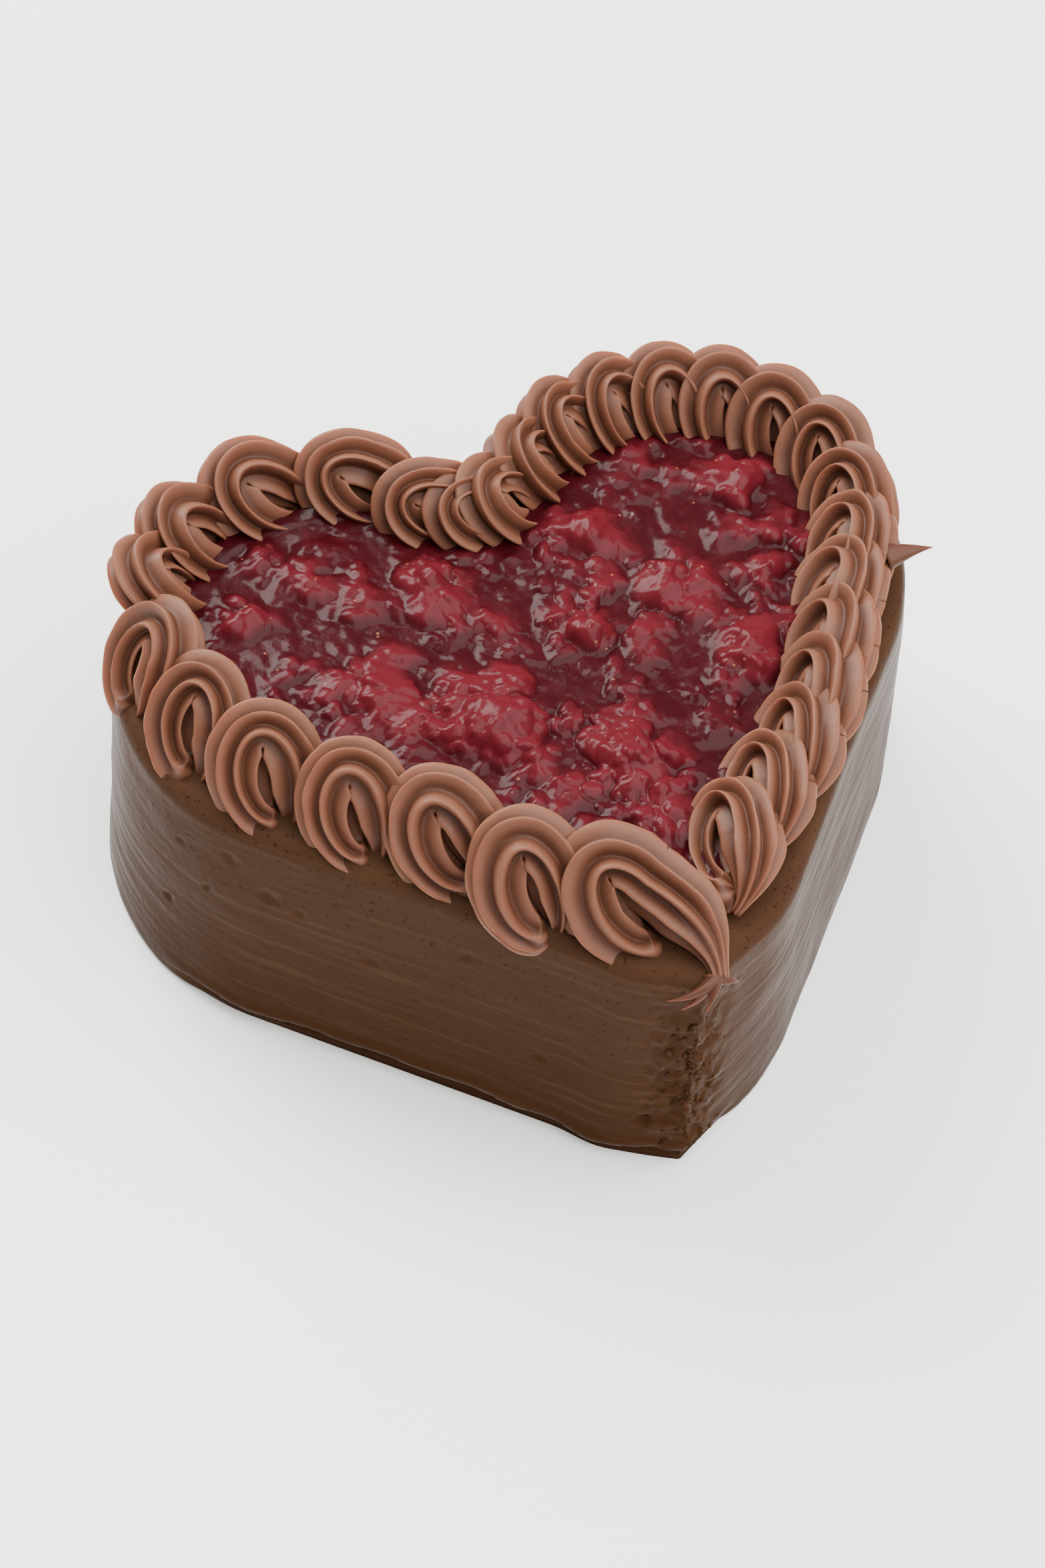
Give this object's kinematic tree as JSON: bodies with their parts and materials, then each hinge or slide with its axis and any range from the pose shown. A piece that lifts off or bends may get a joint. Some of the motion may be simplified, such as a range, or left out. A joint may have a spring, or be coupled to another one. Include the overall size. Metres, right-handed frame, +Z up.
{
  "type": "heart-shaped cake",
  "caption": "Heart-shaped glazed chocolate cake with a piped buttercream swirl border round a lumpy dark red fruit filling.",
  "frame": {"origin": "on the flat bottom face, on the heart's axis of symmetry, below the middle of the cake", "axes": "+Z up out of the cake's top, -Y towards the heart's tip, +Y towards the cleft between the lobes, +X to the right seen from the tip"},
  "size_m": [0.15, 0.13, 0.0668],
  "materials": {
    "glaze": "smooth chocolate glaze with a soft shine",
    "fruit": "wet, glossy, lumpy cooked fruit in its own syrup",
    "buttercream": "satin milk-chocolate buttercream with star-nozzle ridges"
  },
  "bodies": {
    "root": {"cake_block": "glaze", "fruit_filling": "fruit", "swirl_left_01": "buttercream", "swirl_left_02": "buttercream", "swirl_left_03": "buttercream", "swirl_left_04": "buttercream", "swirl_left_05": "buttercream", "swirl_left_06": "buttercream", "swirl_left_07": "buttercream", "swirl_left_08": "buttercream", "swirl_left_09": "buttercream", "swirl_left_10": "buttercream", "swirl_left_11": "buttercream", "swirl_left_12": "buttercream", "swirl_left_13": "buttercream", "swirl_right_01": "buttercream", "swirl_right_02": "buttercream", "swirl_right_03": "buttercream", "swirl_right_04": "buttercream", "swirl_right_05": "buttercream", "swirl_right_06": "buttercream", "swirl_right_07": "buttercream", "swirl_right_08": "buttercream", "swirl_right_09": "buttercream", "swirl_right_10": "buttercream", "swirl_right_11": "buttercream", "swirl_right_12": "buttercream", "swirl_right_13": "buttercream", "swirl_right_14": "buttercream", "swirl_right_15": "buttercream", "swirl_right_16": "buttercream"}
  },
  "joints": []
}
